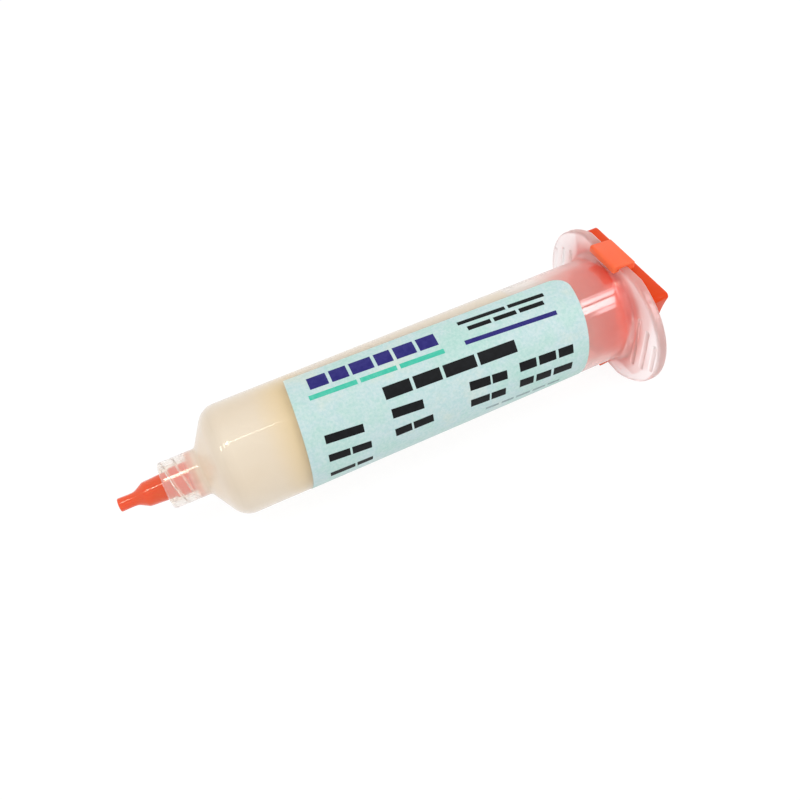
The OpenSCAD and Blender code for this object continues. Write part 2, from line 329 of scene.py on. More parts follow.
def barrelMaterial():
    look = barrelLook
    material, tree, shader, place = newMaterial("milky barrel plastic", {
        "IOR": 1.49, "Coat Weight": 1.0, "Coat Roughness": 0.04, "Coat IOR": 1.75,
        "Sheen Weight": 0.35, "Sheen Roughness": 0.35})
    x, y, z = parted(tree, place)
    # painted orange light: the wall's colour turns pink towards the end cap, for the cap's glow seen through
    # it
    toPaintedCapLight = zone(tree, x, look["paintedCapLightZone"])
    radius = axisDistance(tree, y, z)
    toEar = times(tree, zone(tree, radius, look["earRadius"]), zone(tree, x, look["earZone"]))
    # the solid root of the collar is painted cream, for the paste's light scattered in it; it is also made
    # milkier
    atRoot = times(tree, zone(tree, x, look["rootFront"]), zone(tree, x, look["rootBack"]))
    # a faint orange ring is painted behind the collar's cavity, for the tip cap's rear end glowing through
    # the wall
    paintedCapRing = times(tree, zone(tree, x, look["paintedRingFront"]), zone(tree, x, look["paintedRingBack"]), look["paintedRingShare"])
    cloud = patchy(tree, place, scale=160, detail=3, toHigh=look["cloudShare"])
    tint = layered(tree, look["clear"], [
        (toPaintedCapLight, look["paintedCapLight"]), (toEar, look["ear"]), (atRoot, look["root"]), (paintedCapRing, look["ring"]),
        (cloud, look["cloud"])])
    tree.links.new(tint, shader.inputs["Base Color"])
    # the solid root of the lock collar is the milkiest
    clarity = sums(tree, "ADD", look["clarity"], times(tree, toEar, look["earClarity"] - look["clarity"]),
                   times(tree, atRoot, -look["rootMilk"]),
                   zone(tree, x, look["tipZone"], 0, look["tipClear"]))
    tree.links.new(clarity, shader.inputs["Transmission Weight"])
    blur = sums(tree, "ADD", patchy(tree, place, 420, 2, *look["gloss"]),
                zone(tree, x, look["blurZone"], 0, look["capBlur"]), times(tree, toEar, look["earBlur"]))
    tree.links.new(blur, shader.inputs["Roughness"])
    bumped(tree, shader, noiseAt(tree, place, scale=130, detail=2), strength=0.08, distance=0.4 * mm)
    # the milky wall also glows with the colour of what lies behind it, on its outer face alone; near the end
    # cap that glow's colour is painted pink for the orange cap's light
    glow = fromNode(tree, "ShaderNodeBsdfTranslucent", {"Color": layered(tree, look["glow"], [
        (toPaintedCapLight, look["paintedCapLightGlow"]), (toEar, look["glow"])])})
    seen = addNode(tree, "ShaderNodeLightPath").outputs
    outside = sums(tree, "LESS_THAN", seen["Transmission Depth"], 0.5)
    share = sums(tree, "ADD", times(tree, toEar, look["earGlow"]),
                 zone(tree, x, look["tipZone"], look["glowShare"], look["tipGlow"]))
    milky = fromNode(tree, "ShaderNodeMixShader", {
        0: times(tree, outside, share), 1: shader.outputs[0], 2: glow})
    # light goes straight in through the wall, so that what lies inside is lit as it is in milky plastic;
    # a ray that has crossed more clear faces than the deepest goes straight on too
    clearPath = fromNode(tree, "ShaderNodeBsdfTransparent", {"Color": look["inside"]})
    lighting = sums(tree, "MAXIMUM", seen["Is Shadow Ray"], seen["Is Diffuse Ray"],
                    sums(tree, "GREATER_THAN", seen["Transmission Depth"], look["deepest"]))
    either = fromNode(tree, "ShaderNodeMixShader", {0: lighting, 1: milky, 2: clearPath})
    tree.links.new(either, tree.nodes["Material Output"].inputs[0])
    return material


# orange polyethylene of the two caps: the plug is painted paler for light through its thin floor, the clips'
# upper parts and tops are painted paler as lit from above, the tip cap is glossier
orangeLook = {
    "colour": linear(218, 70, 20), "deep": linear(211, 62, 14), "deepShare": 0.55,
    "plug": linear(255, 92, 36), "lip": linear(255, 112, 72), "thin": linear(252, 112, 76),
    "tip": linear(229, 82, 34), "gloss": (0.30, 0.39), "coat": 0.08, "tipCoat": 0.85,
    # where each change begins and ends, along the barrel and in height
    "paintedPlugGlowZone": (5.0, 4.7), "tipZone": (-90, -95), "thinZone": (0.9, 1.5),
    "paintedClipLightHeight": (13.5, 14), "thinHeight": (15.3, 15.8)}


def capMaterial():
    look = orangeLook
    material, tree, shader, place = newMaterial("orange cap plastic", {
        "IOR": 1.5, "Subsurface Weight": 0.6, "Subsurface Radius": (0.004, 0.0012, 0.0006),
        "Subsurface Scale": 0.6, "Specular IOR Level": 0.08, "Coat Roughness": 0.08})
    x, y, z = parted(tree, place)
    high = sums(tree, "ABSOLUTE", z)
    flow = patchy(tree, place, 150, 2, toHigh=look["deepShare"], ends=(0.35, 0.75), stretch=(1, 0.45, 0.45))
    thin = times(tree, zone(tree, high, look["thinHeight"]), zone(tree, x, look["thinZone"]))
    # painted light: the plug paler for light passing through it, and the clips' upper parts and tops paler
    # where light falls from above
    tint = layered(tree, look["colour"], [
        (flow, look["deep"]), (zone(tree, x, look["paintedPlugGlowZone"]), look["plug"]),
        (zone(tree, high, look["paintedClipLightHeight"]), look["lip"]), (zone(tree, x, look["tipZone"]), look["tip"]),
        (thin, look["thin"])])
    tree.links.new(tint, shader.inputs["Base Color"])
    coat = zone(tree, x, look["tipZone"], look["coat"], look["tipCoat"])
    tree.links.new(coat, shader.inputs["Coat Weight"])
    tree.links.new(patchy(tree, place, 400, 2, *look["gloss"]), shader.inputs["Roughness"])
    bumped(tree, shader, noiseAt(tree, place, scale=900, detail=2), strength=0.05, distance=0.06 * mm)
    return material


# white polyethylene of the piston, painted a little pink for the orange cap's light behind it
pistonLook = {"colour": linear(243, 228, 222), "pale": linear(248, 238, 233), "paleShare": 0.6, "gloss": 0.4}


def pistonMaterial():
    look = pistonLook
    material, tree, shader, place = newMaterial("white piston plastic", {
        "IOR": 1.5, "Roughness": look["gloss"]})
    cloud = patchy(tree, place, 300, 3, toHigh=look["paleShare"], ends=(0.35, 0.7))
    tree.links.new(mixed(tree, cloud, look["colour"], look["pale"]), shader.inputs["Base Color"])
    bumped(tree, shader, noiseAt(tree, place, scale=2400, detail=2), strength=0.1, distance=0.05 * mm)
    return material


# the paste: cream, and more yellow beside the label's tip end, on the label's side
pasteLook = {
    "cream": linear(234, 222, 200), "warm": linear(228, 213, 187), "amber": linear(234, 203, 128),
    "amberShare": 0.8, "amberFront": (-84, -76.8), "amberBack": (-70, -74), "amberEdge": (-5, 3),
    "labelSide": (-0.87, 0.49), "gloss": 0.3}


def pasteMaterial():
    look = pasteLook
    material, tree, shader, place = newMaterial("cream paste", {"IOR": 1.47, "Roughness": look["gloss"]})
    x, y, z = parted(tree, place)
    streaks = patchy(tree, place, 90, 4, ends=(0.35, 0.65), stretch=(0.5, 1, 1))
    sideways = sums(tree, "ADD", times(tree, y, look["labelSide"][0]), times(tree, z, look["labelSide"][1]))
    amber = times(tree, zone(tree, x, look["amberFront"], 0, look["amberShare"]),
                  zone(tree, x, look["amberBack"]), zone(tree, sideways, look["amberEdge"]))
    tint = layered(tree, look["cream"], [(streaks, look["warm"]), (amber, look["amber"])])
    tree.links.new(tint, shader.inputs["Base Color"])
    bumped(tree, shader, noiseAt(tree, place, scale=700, detail=3), strength=0.15, distance=0.1 * mm)
    return material


# the printed label: pale mint with cloudy patches and a fine grain
labelLook = {
    "green": linear(173, 210, 202), "mint": linear(183, 212, 208), "blue": linear(189, 212, 215),
    "cream": linear(201, 215, 207), "grainDark": linear(150, 186, 180), "grainPale": linear(236, 244, 240),
    "grainShare": 0.22, "gloss": 0.42}


def labelMaterial():
    look = labelLook
    material, tree, shader, place = newMaterial("mint label film", {"IOR": 1.45, "Roughness": look["gloss"]})
    cloudy = ramp(tree, noiseAt(tree, place, scale=105, detail=5, roughness=0.6), [
        (0.30, look["green"]), (0.45, look["mint"]), (0.56, look["blue"]), (0.72, look["cream"])])
    grain = noiseAt(tree, place, scale=1500, detail=2, roughness=0.7)
    grainy = ramp(tree, grain, [(0.35, look["grainDark"]), (0.65, look["grainPale"])])
    tree.links.new(mixed(tree, look["grainShare"], cloudy, grainy, "OVERLAY"), shader.inputs["Base Color"])
    bumped(tree, shader, grain, strength=0.06, distance=0.03 * mm)
    return material


# printing inks, each with its full and its faded colour
inkLook = {
    "navy": (linear(38, 34, 112), linear(54, 50, 126)),
    "teal": (linear(64, 190, 164), linear(96, 202, 178)),
    "black": (linear(5, 6, 9), linear(18, 20, 24)),
    "grey": (linear(140, 160, 164), linear(166, 184, 186))}


def inkMaterial(name, colour, faded):
    material, tree, shader, place = newMaterial(name, {
        "IOR": 1.4, "Roughness": 0.5, "Specular IOR Level": 0.25})
    worn = patchy(tree, place, scale=900, detail=3, ends=(0.4, 0.8))
    tree.links.new(mixed(tree, worn, colour, faded), shader.inputs["Base Color"])
    return material


milkyPlastic = barrelMaterial()
orangePlastic = capMaterial()
whitePlastic = pistonMaterial()
creamPaste = pasteMaterial()
mintFilm = labelMaterial()
inks = {name: inkMaterial(name + " ink", *colours) for name, colours in inkLook.items()}
print("materials made")

# the barrel: radii and places along it, from the tip's nozzle to the flange's back
barrelSize = {
    "bore": 11.25, "outside": 12.7, "fillet": 1.95, "flangeFront": 2.5, "flangeBack": barrelHigh[0],
    "rim": 20.0, "halfWidth": barrelHigh[1], "halfHeight": 16.5, "flat": barrelHigh[2], "fullness": 2.1,
    "shoulder": -93.73, "collar": 5.25, "collarRoot": -98.21, "collarEnd": -106.61,
    "cavity": 4.0, "cavityFloor": -100.11, "nozzleRoot": 2.238, "nozzleTip": 1.98, "nozzleEnd": -108.71,
    "passage": 1.4, "coneFront": -98.83, "coneBack": -92.91}


# moves the marked points of the rim out to the oval with its two flats
def flangeTree():
    tree, source = newTree("oval flange", [
        ("Half Width", "Float"), ("Half Height", "Float"), ("Flat", "Float"), ("Fullness", "Float"),
        ("Material", "Material")])
    inset = marked(tree, "rimInset")
    onRim = sums(tree, "GREATER_THAN", inset, -0.5)
    x, y, z = parted(tree, fromNode(tree, "GeometryNodeInputPosition"))
    radius = axisDistance(tree, y, z)
    cosine = sums(tree, "DIVIDE", y, radius)
    sine = sums(tree, "DIVIDE", z, radius)
    steep = sums(tree, "ABSOLUTE", sine)
    full = source["Fullness"]
    wide = sums(tree, "DIVIDE", sums(tree, "ABSOLUTE", cosine), source["Half Width"])
    high = sums(tree, "DIVIDE", steep, source["Half Height"])
    both = sums(tree, "ADD", sums(tree, "POWER", wide, full), sums(tree, "POWER", high, full))
    oval = sums(tree, "POWER", both, sums(tree, "DIVIDE", -1, full))
    flat = sums(tree, "DIVIDE", source["Flat"], sums(tree, "MAXIMUM", steep, 0.01))  # never divided by zero
    reach = sums(tree, "SUBTRACT", sums(tree, "MINIMUM", oval, flat), inset)
    shaped = fromNode(tree, "GeometryNodeSetPosition", {
        "Geometry": source["Geometry"], "Selection": onRim,
        "Position": joined(tree, x, times(tree, cosine, reach), times(tree, sine, reach))})
    return finishTree(tree, shaped, source["Material"])


barrelShell = turnedPiece("barrelShell", [
    (barrelSize["bore"], barrelSize["flangeBack"], 0.4),
    (barrelSize["rim"], barrelSize["flangeBack"], 0.7),
    (barrelSize["rim"], barrelSize["flangeFront"], 0.7),
    (barrelSize["outside"], barrelSize["flangeFront"], barrelSize["fillet"]),
    (barrelSize["outside"], barrelSize["shoulder"], 5),
    (barrelSize["collar"], barrelSize["collarRoot"], 1),
    (barrelSize["collar"], barrelSize["collarEnd"], 0.7),
    (barrelSize["cavity"], barrelSize["collarEnd"], 0.3),
    (barrelSize["cavity"], barrelSize["cavityFloor"], 0.3),
    (barrelSize["nozzleRoot"], barrelSize["cavityFloor"], 0.3),
    (barrelSize["nozzleTip"], barrelSize["nozzleEnd"], 0.2),
    (barrelSize["passage"], barrelSize["nozzleEnd"], 0.1),
    (barrelSize["passage"], barrelSize["coneFront"], 1),
    (barrelSize["bore"], barrelSize["coneBack"], 3.55),
], milkyPlastic, sides=256, rim=barrelSize["rim"])
bakeTree(barrelShell, flangeTree(), {
    "Half Width": barrelSize["halfWidth"] * mm, "Half Height": barrelSize["halfHeight"] * mm,
    "Flat": barrelSize["flat"] * mm, "Fullness": barrelSize["fullness"], "Material": milkyPlastic})

# grip ribs on the flange's front face: rods sunk into it, whose straight part reaches, up and down,
# the oval's height times reach, less short
ribSize = {"first": 14.0, "pitch": 3.1, "count": 3, "radius": 1.0, "height": 0.36, "reach": 0.55,
           "short": 0.6}


# a ball at each point, pulled apart at its middle, up and down, into a rod with round ends
def ribTree():
    tree, source = newTree("rounded ribs", [("Radius", "Float"), ("Material", "Material")])
    ball = fromNode(tree, "GeometryNodeMeshUVSphere", {
        "Segments": 24, "Rings": 14, "Radius": source["Radius"]})
    placed = fromNode(tree, "GeometryNodeInstanceOnPoints", {"Points": source["Geometry"], "Instance": ball})
    plain = fromNode(tree, "GeometryNodeRealizeInstances", {"Geometry": placed})
    height = parted(tree, fromNode(tree, "GeometryNodeInputPosition"))[2]
    pull = times(tree, sums(tree, "SIGN", height), marked(tree, "halfLength"))
    pulled = fromNode(tree, "GeometryNodeSetPosition", {"Geometry": plain, "Offset": joined(tree, z=pull)})
    smooth = fromNode(tree, "GeometryNodeSetShadeSmooth", {"Geometry": pulled})
    return finishTree(tree, smooth, source["Material"])


# how high the flange's oval stands at a distance sideways
def ovalHeight(y):
    full = barrelSize["fullness"]
    return barrelSize["halfHeight"] * (1 - (y / barrelSize["halfWidth"]) ** full) ** (1 / full)


ribPlaces = []
for side in (-1, 1):
    for i in range(ribSize["count"]):
        y = ribSize["first"] + i * ribSize["pitch"]
        ribPlaces.append((side * y, ribSize["reach"] * ovalHeight(y) - ribSize["short"]))
ribDepth = barrelSize["flangeFront"] - ribSize["height"] + ribSize["radius"]
gripRibs = newObject("gripRibs", [(ribDepth * mm, y * mm, 0) for y, half in ribPlaces])
markPoints(gripRibs, "halfLength", [half * mm for y, half in ribPlaces])
bakeTree(gripRibs, ribTree(), {"Radius": ribSize["radius"] * mm, "Material": milkyPlastic})
union = barrelShell.modifiers.new("ribs", "BOOLEAN")
union.operation, union.solver, union.object = "UNION", "EXACT", gripRibs
barrelShell.data = bakedMesh(barrelShell)
barrelShell.modifiers.clear()
bpy.data.objects.remove(gripRibs)
smoothUnder(barrelShell, 40)
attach(barrelShell, "barrel")
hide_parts("barrel")
print("barrel made,", len(barrelShell.data.vertices), "points")

# double thread inside the lock collar
threadSize = {"crest": 3.55, "root": 4.08, "lead": 5.0, "width": 0.55, "back": -101.3, "turns": 0.9}


# a ridge along a helix, narrower at its crest, and the same again half a turn further
def threadTree():
    tree, source = newTree("lock thread", [
        ("Radius", "Float"), ("Depth", "Float"), ("Width", "Float"), ("Lead", "Float"), ("Turns", "Float"),
        ("Start", "Float"), ("Material", "Material")])
    path = fromNode(tree, "GeometryNodeCurveSpiral", {
        "Resolution": 72, "Rotations": source["Turns"], "Start Radius": source["Radius"],
        "End Radius": source["Radius"], "Height": times(tree, source["Lead"], source["Turns"])})
    ridge = fromNode(tree, "GeometryNodeCurvePrimitiveQuadrilateral", {
        "Height": source["Depth"], "Bottom Width": times(tree, source["Width"], 0.5),
        "Top Width": source["Width"], "Offset": 0}, mode="TRAPEZOID")
    upright = fromNode(tree, "GeometryNodeTransform", {"Geometry": ridge, "Rotation": (0, 0, math.pi / 2)})
    swept = fromNode(tree, "GeometryNodeCurveToMesh", {
        "Curve": path, "Profile Curve": upright, "Fill Caps": True})
    second = fromNode(tree, "GeometryNodeTransform", {"Geometry": swept, "Rotation": (0, 0, math.pi)})
    both = addNode(tree, "GeometryNodeJoinGeometry", {0: swept})
    tree.links.new(second, both.inputs[0])
    laid = fromNode(tree, "GeometryNodeTransform", {
        "Geometry": both.outputs[0], "Rotation": roundBarrel, "Translation": joined(tree, x=source["Start"])})
    return finishTree(tree, laid, source["Material"])


lockThread = newObject("lockThread", [(0, 0, 0)])
bakeTree(lockThread, threadTree(), {
    "Radius": (threadSize["crest"] + threadSize["root"]) / 2 * mm,
    "Depth": (threadSize["root"] - threadSize["crest"]) * mm, "Width": threadSize["width"] * mm,
    "Lead": -threadSize["lead"] * mm, "Turns": threadSize["turns"], "Start": threadSize["back"] * mm,
    "Material": milkyPlastic})
smoothUnder(lockThread, 35)
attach(lockThread, "barrel")
print("lock thread made")

# the paste fills the bore, the cone and the nozzle's passage, and reaches a hair into their wall
pasteSize = {"nose": 4.0, "noseBack": -25.25, "backEdge": -20.9, "front": -108.4, "intoWall": 0.02,
             "intoCone": 0.05}
pasteRadius = barrelSize["bore"] + pasteSize["intoWall"]
pasteNeck = barrelSize["passage"] + pasteSize["intoWall"]
pasteColumn = turnedPiece("pasteColumn", [
    (0, pasteSize["noseBack"], 0),
    (pasteSize["nose"], pasteSize["noseBack"], 0.5),
    (pasteRadius, pasteSize["backEdge"], 0),
    (pasteRadius, barrelSize["coneBack"] - pasteSize["intoCone"], 3.57),
    (pasteNeck, barrelSize["coneFront"] - pasteSize["intoCone"], 0.98),
    (pasteNeck, pasteSize["front"], 0.1),
    (0, pasteSize["front"], 0),
], creamPaste, sides=160)
smoothUnder(pasteColumn, 45)
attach(pasteColumn, "barrel")
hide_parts("flux")

# the piston: a cone in front, two lips that wipe the bore, and a cup behind
pistonSize = {"body": 10.6, "lip": pistonHigh[2], "nose": 4.0, "noseFront": pistonLow[0],
              "cone": 10.9, "coneBack": -21.05, "frontLip": (-20.55, -19.55), "waist": (-18.75, -12.5),
              "backLip": (-11.7, pistonHigh[0]),
              "cupMouth": 8.6, "cupWall": 8.0, "cupCorner": -18.9, "cupFloor": 2.5, "cupEnd": -22.2}
pistonBody = turnedPiece("pistonBody", [
    (0, pistonSize["noseFront"], 0),
    (pistonSize["nose"], pistonSize["noseFront"], 0.6),
    (pistonSize["cone"], pistonSize["coneBack"], 0.3),
    (pistonSize["lip"], pistonSize["frontLip"][0], 0.1),
    (pistonSize["lip"], pistonSize["frontLip"][1], 0.2),
    (pistonSize["body"], pistonSize["waist"][0], 0.5),
    (pistonSize["body"], pistonSize["waist"][1], 0.5),
    (pistonSize["lip"], pistonSize["backLip"][0], 0.2),
    (pistonSize["lip"], pistonSize["backLip"][1], 0.2),
    (pistonSize["cupMouth"], pistonSize["backLip"][1], 0.3),
    (pistonSize["cupWall"], pistonSize["cupCorner"], 1.2),
    (pistonSize["cupFloor"], pistonSize["cupEnd"], 0.6),
    (0, pistonSize["cupEnd"], 0),
], whitePlastic, sides=160)
smoothUnder(pistonBody, 45)
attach(pistonBody, "piston")
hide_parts("piston")

# the tip cap: a sleeve in the lock, a neck that tapers to a slim stem, and a socket over the nozzle
tipSize = {"sleeve": 3.4, "sleeveBack": -100.51, "sleeveFront": -104.61, "neck": 2.95, "neckBack": -105.2,
           "neckFront": -107.0, "taper": 2.72, "taperFront": -110.9, "stemBack": (1.475, -113.0),
           "stemWaist": (1.445, -114.3), "stemFront": (1.505, -116.7), "mouth": 2.27,
           "socket": 2.0, "socketFloor": -109.1}
tipCap = turnedPiece("tipCap", [
    (tipSize["mouth"], tipSize["sleeveBack"], 0.15),
    (tipSize["sleeve"], tipSize["sleeveBack"], 0.3),
    (tipSize["sleeve"], tipSize["sleeveFront"], 0.3),
    (tipSize["neck"], tipSize["neckBack"], 0.3),
    (tipSize["neck"], tipSize["neckFront"], 2),
    (tipSize["taper"], tipSize["taperFront"], 1.2),
    (*tipSize["stemBack"], 2.5),
    (*tipSize["stemWaist"], 3),
    (*tipSize["stemFront"], 0.25),
    (0, tipSize["stemFront"][1], 0),
    (0, tipSize["socketFloor"], 0),
    (tipSize["socket"], tipSize["socketFloor"], 0.2),
], orangePlastic, sides=128)
smoothUnder(tipCap, 45)
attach(tipCap, "tip_cap")
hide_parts("tip_cap")
print("paste, piston and tip cap made")

# the end cap: a plug with a bead, and a tray whose short ends curve in; it is hollow from behind
capSize = {
    "halfWidth": 14.7, "halfHeight": 12.0, "waist": 2.4, "corner": 1.0, "leastCorner": 0.3,
    "front": 4.95, "back": capHigh[0], "edge": 0.3, "rim": 1.3, "rimFoot": 0.2, "tray": 6.45,
    "hollow": 9.6, "hollowFoot": 1.4, "hollowFloor": 0.8, "floorRadii": (3.0, 9.0),
    "sides": 360, "plugRadius": 11.0,
    # the plug's bead and front, as (place along the barrel, radius)
    "plug": [(2.3, 11.0), (2.0, 11.2), (1.4, 11.2), (1.1, 11.0), (0.5, 11.0), (-0.2, 10.85),
             (capLow[0], 10.5), (capLow[0], 5.0)]}


def directions():
    return [2 * math.pi * (i + 0.5) / capSize["sides"] for i in range(capSize["sides"])]


# how far off the axis a direction meets a circle, on the circle's near side (-1) or far side (1)
def circleReach(dy, dz, y, z, radius, side):
    along = dy * y + dz * z
    root = along ** 2 - y ** 2 - z ** 2 + radius ** 2
    return along + side * math.sqrt(root) if root > 0 else math.inf


# the tray's outline by direction: a rounded rectangle whose short ends are cut by the waist's circles
def trayRing(x, inset):
    waistRadius = (capSize["halfHeight"] ** 2 + capSize["waist"] ** 2) / (2 * capSize["waist"])
    centreY = capSize["halfWidth"] - capSize["waist"] + waistRadius
    waistCut = waistRadius + inset
    rounding = max(capSize["corner"] - inset, capSize["leastCorner"])
    top = capSize["halfHeight"] - inset
    # the rounding's centre lies its radius below the top edge and that far outside the waist's circle
    middleZ = top - rounding
    middleY = centreY - math.sqrt((waistCut + rounding) ** 2 - middleZ ** 2)
    ring = []
    for t in directions():
        dy, dz = abs(math.cos(t)), abs(math.sin(t))
        reach = min(top / max(dz, 1e-6), circleReach(dy, dz, centreY, 0, waistCut, -1))
        if reach * dy > middleY and reach * dz > middleZ * 0.9:  # near the corner
            reach = min(reach, circleReach(dy, dz, middleY, middleZ, rounding, 1))
        ring.append((reach * math.cos(t), reach * math.sin(t)))
    return x, ring


def roundRing(x, radius):
    return x, [(radius * math.cos(t), radius * math.sin(t)) for t in directions()]


# the faces between rings of points that follow one another
def ringFaces(count, number):
    faces = []
    for start in range(0, (number - 1) * count, count):
        for i in range(count):
            j = (i + 1) % count
            faces.append((start + i, start + j, start + count + j, start + count + i))
    return faces


# rings of equal length, joined one after the other and closed at both ends
def ringedSolid(name, rings, material):
    count = len(rings[0][1])
    points = [(x * mm, y * mm, z * mm) for x, ring in rings for y, z in ring]
    faces = ringFaces(count, len(rings))
    for k in (0, len(rings) - 1):
        centre = len(points)
        points.append((rings[k][0] * mm, 0, 0))
        faces += [(k * count + i, k * count + (i + 1) % count, centre) for i in range(count)]
    return newObject(name, points, (), faces, material)


# from the hollow's floor out over the tray and back along the plug to its front
def capRings():
    front, back, tray, rim = (capSize[k] for k in ("front", "back", "tray", "rim"))
    hollow, foot, edge = (capSize[k] for k in ("hollow", "rimFoot", "edge"))
    soft = edge * 0.3  # where an edge's rounding is halfway
    rings = [roundRing(capSize["hollowFloor"], radius) for radius in capSize["floorRadii"]]
    rings += [roundRing(capSize["hollowFoot"], hollow), roundRing(tray - edge, hollow),
              roundRing(tray, hollow + edge), trayRing(tray, rim + foot), trayRing(tray + foot, rim),
              trayRing(back - 2 * soft, rim), trayRing(back, rim - 2 * soft), trayRing(back, edge),
              trayRing(back - soft, soft), trayRing(back - edge, 0), trayRing(front + edge, 0),
              trayRing(front + soft, soft), trayRing(front, edge), roundRing(front, capSize["plugRadius"])]
    return rings + [roundRing(x, radius) for x, radius in capSize["plug"]]


endCap = smoothUnder(ringedSolid("endCap", capRings(), orangePlastic), 34)

# the clips: an arm over the flange's flat with a hook before it; places along the barrel and heights
clipSize = {"foot": 11.0, "back": 6.6, "backTop": 15.6, "front": 0.8, "frontTop": 16.2, "hook": 14.35,
            "hookBack": 2.45, "arm": 15.03, "halfWidth": 4.65, "edge": 0.15}
clipOutline = roundedOutline([
    (capSize["front"], clipSize["foot"], 0),
    (clipSize["back"], clipSize["foot"], 0),
    (clipSize["back"], clipSize["backTop"], 0.4),
    (clipSize["front"], clipSize["frontTop"], 0.6),
    (clipSize["front"], clipSize["hook"], 0.3),
    (clipSize["hookBack"], clipSize["hook"], 0.1),
    (clipSize["hookBack"], clipSize["arm"], 0.1),
    (capSize["front"], clipSize["arm"], 0.1),
], step=10)


# the clip's outline, drawn in by a distance
def clipInset(distance):
    moved = []
    for i, here in enumerate(clipOutline):
        before = (here - clipOutline[i - 1]).normalized()
        after = (clipOutline[(i + 1) % len(clipOutline)] - here).normalized()
        side = Vector((-(before + after).y, (before + after).x))
        moved.append(here + side.normalized() * distance if side.length > 1e-6 else here)
    return moved


# way is 1 for the upper clip and -1 for the lower one, which is the upper one turned half round
def clipPiece(name, way):
    half, edge = clipSize["halfWidth"], clipSize["edge"]
    soft = edge * 0.3
    layers = [(-half, edge), (-half + soft, soft), (-half + edge, 0),
              (half - edge, 0), (half - soft, soft), (half, edge)]
    points = [(p.x * mm, y * mm * way, p.y * mm * way) for y, distance in layers for p in clipInset(distance)]
    count = len(clipOutline)
    faces = ringFaces(count, len(layers))
    faces += [tuple(range(count)), tuple(range(len(points) - count, len(points)))]
    return smoothUnder(newObject(name, points, (), faces, orangePlastic), 34)


upperClip = clipPiece("upperClip", 1)
lowerClip = clipPiece("lowerClip", -1)
for piece in (endCap, upperClip, lowerClip):
    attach(piece, "end_cap")
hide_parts("end_cap")
print("end cap made")

# the label: its corners are (place along the barrel, degrees round it from the top)
labelSize = {"radius": 12.71, "thick": 0.1, "topLeft": (-75.6, -21.0), "topRight": (-7.8, -10.0),
             "lowLeft": (-78.4, 134.0), "lowRight": (-10.5, 137.0), "bulge": 0.8, "corner": 4.2,
             "columns": 96, "rows": 72}


# u runs along the barrel and v round it, both from 0 to 1; the upper edge bulges a little
def onLabel(u, v):
    a, b, c, d = (Vector(labelSize[k]) for k in ("topLeft", "topRight", "lowLeft", "lowRight"))
    x, angle = (a.lerp(b, u)).lerp(c.lerp(d, u), v)
    return x, angle + labelSize["bulge"] * 4 * u * (1 - u) * (1 - v)


# a place at an angle round the barrel's axis, in the units of x and of the radius
def aroundAxis(x, angle, radius):
    t = math.radians(angle)
    return Vector((x, -math.sin(t) * radius, math.cos(t) * radius))


# a thin film, whose two corners near the flange are rounded
def wrappedFilm():
    columns, rows, corner = labelSize["columns"], labelSize["rows"], labelSize["corner"]
    length = labelSize["topRight"][0] - labelSize["topLeft"][0]
    width = math.radians(labelSize["lowLeft"][1] - labelSize["topLeft"][1]) * labelSize["radius"]
    grid = []
    for j in range(rows + 1):
        v = 0.5 - 0.5 * math.cos(math.pi * j / rows)  # closer rows at the two edges, for the corners
        depth = min(v, 1 - v) * width
        short = corner - math.sqrt(corner ** 2 - (corner - depth) ** 2) if depth < corner else 0
        grid.append([onLabel(i / columns * (1 - short / length), v) for i in range(columns + 1)])
    points = [aroundAxis(x, angle, radius) * mm
              for radius in (labelSize["radius"], labelSize["radius"] + labelSize["thick"])
              for row in grid for x, angle in row]
    wide = columns + 1
    layer = wide * (rows + 1)
    faces = []
    for j in range(rows):
        for i in range(columns):
            a = j * wide + i
            faces.append((a, a + 1, a + wide + 1, a + wide))
            faces.append((a + layer, a + wide + layer, a + wide + 1 + layer, a + 1 + layer))
    border = list(range(wide)) + [j * wide + columns for j in range(1, rows + 1)]
    border += [rows * wide + i for i in range(columns - 1, -1, -1)]
    border += [j * wide for j in range(rows - 1, 0, -1)]
    for a, b in zip(border, border[1:] + border[:1]):
        faces.append((a, b, b + layer, a + layer))
    return smoothUnder(newObject("labelSheet", points, (), faces, mintFilm), 50)


labelFilm = wrappedFilm()
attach(labelFilm, "barrel")
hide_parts("label")

# the print, as plain bars; a row has its first and last place, as (along the barrel, degrees round it),
# its height in degrees, its number of bars and its ink
printSize = {"thick": 0.04, "gap": 0.75, "gapShare": 0.05, "unequal": (0.8, 1.3), "seed": 7, "rows": [
    ((-71.3, -1.0), (-42.0, 5.7), 15, 6, "navy"),
    ((-72.4, 14.6), (-41.7, 21.4), 5, 3, "teal"),
    ((-57.6, 38.0), (-26.4, 43.5), 12.5, 4, "black"),
    ((-57.5, 59.0), (-50.3, 61.5), 9.5, 1, "black"),
    ((-57.9, 80.0), (-48.9, 80.8), 9, 2, "black"),
    ((-72.7, 57.0), (-64.2, 60.5), 8.5, 1, "black"),
    ((-73.2, 77.0), (-63.6, 81.0), 8.5, 2, "black"),
    ((-73.8, 101.0), (-63.9, 103.0), 7, 2, "black"),
    ((-35.9, -1.4), (-14.9, 4.6), 4.6, 2, "black"),
    ((-34.5, 8.6), (-16.0, 13.4), 5, 3, "black"),
    ((-36.7, 22.0), (-14.5, 28.4), 4.6, 1, "navy"),
    ((-39.3, 64.0), (-30.2, 67.5), 9.5, 2, "black"),
    ((-27.0, 66.0), (-13.4, 69.5), 10, 3, "black"),
    ((-39.8, 83.5), (-31.1, 86.5), 9, 2, "black"),
    ((-27.5, 85.0), (-13.9, 90.0), 9.5, 3, "black"),
    ((-36.0, 102.0), (-16.6, 109.0), 3.6, 5, "grey")]}


